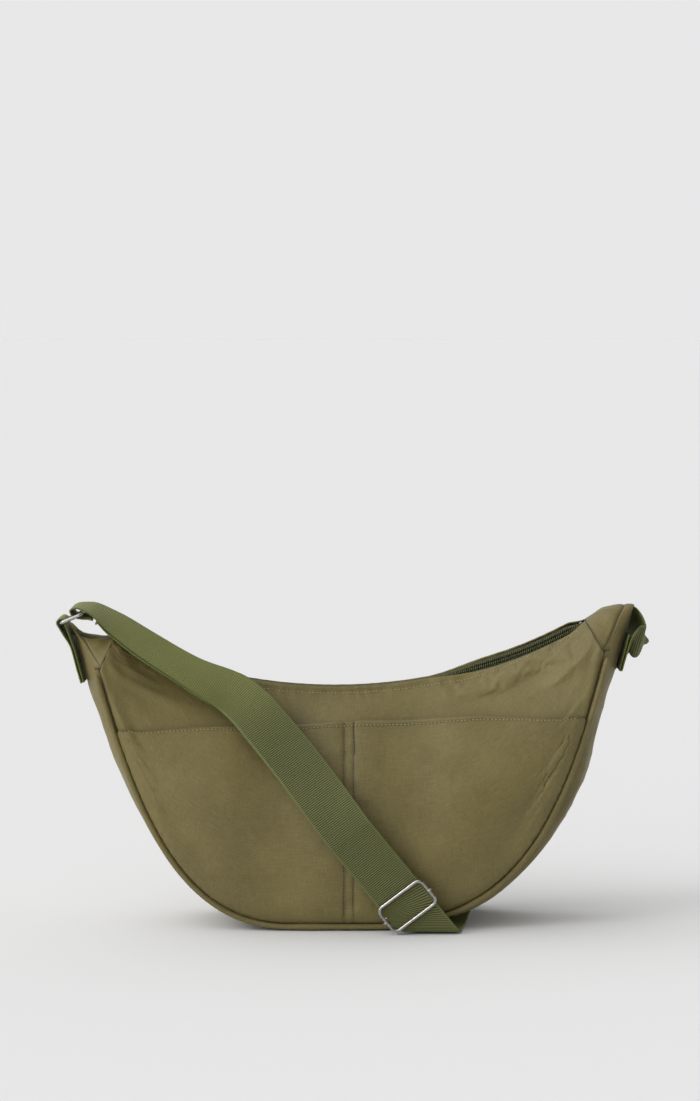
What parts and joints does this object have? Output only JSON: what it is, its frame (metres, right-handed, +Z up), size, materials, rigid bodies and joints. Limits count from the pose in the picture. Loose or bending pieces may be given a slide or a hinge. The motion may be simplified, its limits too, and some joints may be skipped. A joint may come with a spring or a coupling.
{
  "type": "crossbody purse",
  "caption": "Half-moon fabric crossbody purse with a top zip, divided front pocket, piped seams, and an adjustable webbing strap.",
  "frame": {"origin": "On the underside of the base, midway between the front and back seams, under the middle of the zip.", "axes": "+X along the zip towards the sewn end of the strap, +Y from the front to the back, +Z up."},
  "size_m": [0.3979, 0.119, 0.2146],
  "materials": {
    "bag_cloth": "olive nylon taffeta with a soft sheen",
    "lining_cloth": "thin plain-woven lining",
    "zip_tape": "dark olive zip tape",
    "zip_coil": "nylon coil",
    "webbing": "ribbed green webbing",
    "metal": "polished nickel plate"
  },
  "bodies": {
    "root": {"front_panel": "bag_cloth", "back_panel": "bag_cloth", "gusset": "bag_cloth", "left_end_cap": "bag_cloth", "right_end_cap": "bag_cloth", "pocket_panel": "bag_cloth", "front_piping": "bag_cloth", "back_piping": "bag_cloth", "front_piping_cord": "lining_cloth", "back_piping_cord": "lining_cloth", "lining_front": "lining_cloth", "lining_back": "lining_cloth", "lining_gusset": "lining_cloth", "zip_tape_front": "zip_tape", "zip_tape_back": "zip_tape", "zip_coil_front": "zip_coil", "zip_coil_back": "zip_coil", "zip_stop_left": "metal", "zip_stop_right": "metal", "ring_tab": "webbing", "shoulder_strap": "webbing", "strap_return": "webbing"},
    "ring": {"strap_ring": "metal", "strap_ring_loop": "webbing"},
    "adjuster": {"adjuster_frame": "metal", "adjuster_bar": "metal", "strap_end_loop": "webbing"},
    "slider": {"zip_slider": "metal"},
    "pull": {"zip_pull": "metal"}
  },
  "joints": [
    {"name": "zip_run", "type": "hinge", "parent": "root", "child": "slider", "pos_m": [-0.01139, 0, 0.50177], "axis": [0, -1, 0], "range_deg": [0, 50]},
    {"name": "pull_flip", "type": "hinge", "parent": "slider", "child": "pull", "pos_m": [-0.14708, 0, 0.18805], "axis": [0, -1, 0], "range_deg": [0, 45]},
    {"name": "ring_swing", "type": "hinge", "parent": "root", "child": "ring", "pos_m": [-0.1935, 0, 0.20097], "axis": [0, -1, 0], "range_deg": [0, 70]},
    {"name": "adjuster_slide", "type": "slide", "parent": "root", "child": "adjuster", "axis": [-0.6188, -0.1048, 0.7785], "range_m": [0, 0.04], "deforming": ["strap_return"]}
  ]
}
